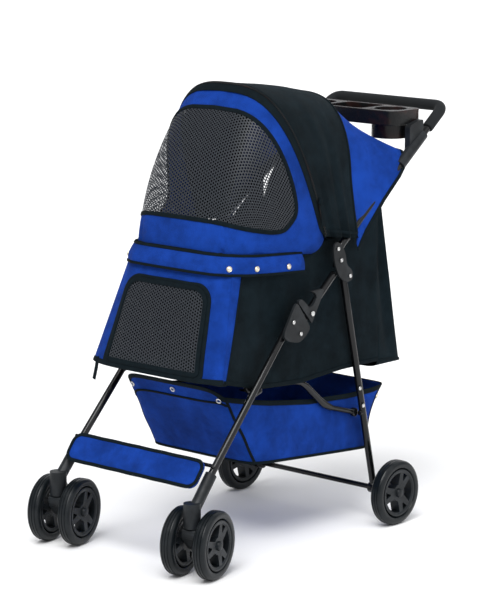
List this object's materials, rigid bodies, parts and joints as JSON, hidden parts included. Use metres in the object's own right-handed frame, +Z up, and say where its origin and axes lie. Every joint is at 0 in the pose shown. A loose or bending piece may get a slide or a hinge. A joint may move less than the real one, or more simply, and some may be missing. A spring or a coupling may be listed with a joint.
{
  "type": "pet stroller",
  "caption": "Folding pet stroller with a hooded fabric cabin, mesh window, storage basket, twin swivel casters, rear wheels, and a cup tray below a foam handle.",
  "frame": {"origin": "on the floor, midway between the casters' front edge and the handle's back edge, in the middle plane", "axes": "+Z up, the stroller rolls towards -Y, the pusher stands at +Y and +X is at the pusher's left hand, which is on the right seen from the front"},
  "size_m": [0.5413, 0.972, 1.019],
  "materials": {
    "black_tube": "gloss black powder coat",
    "black_plastic": "satin",
    "tyre": "smooth satin",
    "hub_plastic": "satin",
    "blue_cloth": "woven polyester",
    "black_cloth": "woven polyester",
    "foam": "closed-cell foam",
    "steel": "bright",
    "net": "open mesh"
  },
  "bodies": {
    "front_frame": {"footrest_rod": "black_tube", "footrest_panel": "blue_cloth", "front_leg_left": "black_tube", "caster_socket_left": "black_plastic", "knee_shell_left": "black_plastic", "front_leg_right": "black_tube", "caster_socket_right": "black_plastic", "knee_shell_right": "black_plastic"},
    "upper_frame": {"handle_tube": "black_tube", "handle_grip": "foam", "tray": "black_plastic", "rim_wire": "steel", "canopy_bow": "black_tube", "hood_middle": "black_cloth", "hood_rear": "blue_cloth", "upper_tube_left": "black_tube", "lever_rivet_left": "steel", "side_bracket_left": "black_plastic", "tray_clamp_left": "black_plastic", "upper_tube_right": "black_tube", "lever_rivet_right": "steel", "side_bracket_right": "black_plastic", "tray_clamp_right": "black_plastic"},
    "front_cover": {"cover_hoop": "black_tube", "hood_front": "blue_cloth"},
    "rear_frame": {"rear_leg_left": "black_tube", "rear_leg_right": "black_tube", "rear_axle": "black_tube"},
    "cabin_floor": {"floor_link_left": "black_tube", "floor_link_right": "black_tube", "floor_bar": "black_tube", "floor_board": "black_cloth", "cabin_side_left": "black_cloth", "cabin_side_right": "black_cloth", "cabin_front": "blue_cloth", "cabin_back": "black_cloth", "rear_pocket": "black_cloth", "basket": "blue_cloth"},
    "front_window": {"window_flap": "net"},
    "caster_left": {"caster_fork_left": "black_plastic"},
    "caster_wheel_left_outer": {"caster_left_outer_tyre": "tyre", "caster_left_outer_hub": "hub_plastic"},
    "caster_wheel_left_inner": {"caster_left_inner_tyre": "tyre", "caster_left_inner_hub": "hub_plastic"},
    "rear_wheel_left": {"rear_left_tyre": "tyre", "rear_left_hub": "hub_plastic"},
    "brake_left": {"brake_pedal_left": "black_plastic"},
    "knee_release_left": {"knee_lever_left": "black_plastic"},
    "caster_right": {"caster_fork_right": "black_plastic"},
    "caster_wheel_right_outer": {"caster_right_outer_tyre": "tyre", "caster_right_outer_hub": "hub_plastic"},
    "caster_wheel_right_inner": {"caster_right_inner_tyre": "tyre", "caster_right_inner_hub": "hub_plastic"},
    "rear_wheel_right": {"rear_right_tyre": "tyre", "rear_right_hub": "hub_plastic"},
    "brake_right": {"brake_pedal_right": "black_plastic"},
    "knee_release_right": {"knee_lever_right": "black_plastic"}
  },
  "joints": [
    {"name": "frame_fold", "type": "hinge", "parent": "front_frame", "child": "upper_frame", "pos_m": [0, -0.0901, 0.486], "axis": [-1, 0, 0], "range_deg": [0, 130], "deforming": ["cabin_side_left", "cabin_side_right", "cabin_front", "cabin_back", "rear_pocket", "basket", "hood_front", "hood_middle", "hood_rear"]},
    {"name": "rear_leg_fold", "type": "hinge", "parent": "upper_frame", "child": "rear_frame", "pos_m": [0, 0.0829, 0.593], "axis": [1, 0, 0], "range_deg": [0, 85]},
    {"name": "floor_fold", "type": "hinge", "parent": "front_frame", "child": "cabin_floor", "pos_m": [0, -0.2081, 0.375], "axis": [-1, 0, 0], "range_deg": [0, 91]},
    {"name": "cover_open", "type": "hinge", "parent": "upper_frame", "child": "front_cover", "pos_m": [0, 0.0159, 0.687], "axis": [1, 0, 0], "range_deg": [0, 70]},
    {"name": "window_open", "type": "hinge", "parent": "cabin_floor", "child": "front_window", "pos_m": [0, -0.3261, 0.4273], "axis": [1, 0, 0], "range_deg": [0, 120]},
    {"name": "caster_swivel_left", "type": "hinge", "parent": "front_frame", "child": "caster_left", "pos_m": [0.202, -0.4311, 0.13], "axis": [0, 0, 1], "continuous": true},
    {"name": "caster_spin_left_outer", "type": "hinge", "parent": "caster_left", "child": "caster_wheel_left_outer", "pos_m": [0.19604, -0.40686, 0.075], "axis": [0.9711, 0.2385, 0], "continuous": true},
    {"name": "caster_spin_left_inner", "type": "hinge", "parent": "caster_left", "child": "caster_wheel_left_inner", "pos_m": [0.19604, -0.40686, 0.075], "axis": [0.9711, 0.2385, 0], "continuous": true},
    {"name": "rear_spin_left", "type": "hinge", "parent": "rear_frame", "child": "rear_wheel_left", "pos_m": [0.236, 0.21986, 0.075], "axis": [1, 0, 0], "continuous": true},
    {"name": "brake_press_left", "type": "hinge", "parent": "rear_frame", "child": "brake_left", "pos_m": [0.197, 0.21986, 0.075], "axis": [-1, 0, 0], "range_deg": [0, 18], "stiffness_Nm_per_rad": 1.2},
    {"name": "knee_release_left", "type": "hinge", "parent": "upper_frame", "child": "knee_release_left", "pos_m": [0.205, -0.05114, 0.526], "axis": [-1, 0, 0], "range_deg": [0, 12], "stiffness_Nm_per_rad": 1.2},
    {"name": "caster_swivel_right", "type": "hinge", "parent": "front_frame", "child": "caster_right", "pos_m": [-0.202, -0.4311, 0.13], "axis": [0, 0, 1], "continuous": true},
    {"name": "caster_spin_right_outer", "type": "hinge", "parent": "caster_right", "child": "caster_wheel_right_outer", "pos_m": [-0.20796, -0.40686, 0.075], "axis": [0.9711, 0.2385, 0], "continuous": true},
    {"name": "caster_spin_right_inner", "type": "hinge", "parent": "caster_right", "child": "caster_wheel_right_inner", "pos_m": [-0.20796, -0.40686, 0.075], "axis": [0.9711, 0.2385, 0], "continuous": true},
    {"name": "rear_spin_right", "type": "hinge", "parent": "rear_frame", "child": "rear_wheel_right", "pos_m": [-0.236, 0.21986, 0.075], "axis": [1, 0, 0], "continuous": true},
    {"name": "brake_press_right", "type": "hinge", "parent": "rear_frame", "child": "brake_right", "pos_m": [-0.197, 0.21986, 0.075], "axis": [-1, 0, 0], "range_deg": [0, 18], "stiffness_Nm_per_rad": 1.2},
    {"name": "knee_release_right", "type": "hinge", "parent": "upper_frame", "child": "knee_release_right", "pos_m": [-0.205, -0.05114, 0.526], "axis": [-1, 0, 0], "range_deg": [0, 12], "stiffness_Nm_per_rad": 1.2}
  ],
  "couplings": [
    {"joint": "rear_leg_fold", "follows": "frame_fold", "ratio": 0.647},
    {"joint": "floor_fold", "follows": "frame_fold", "ratio": 0.697}
  ]
}
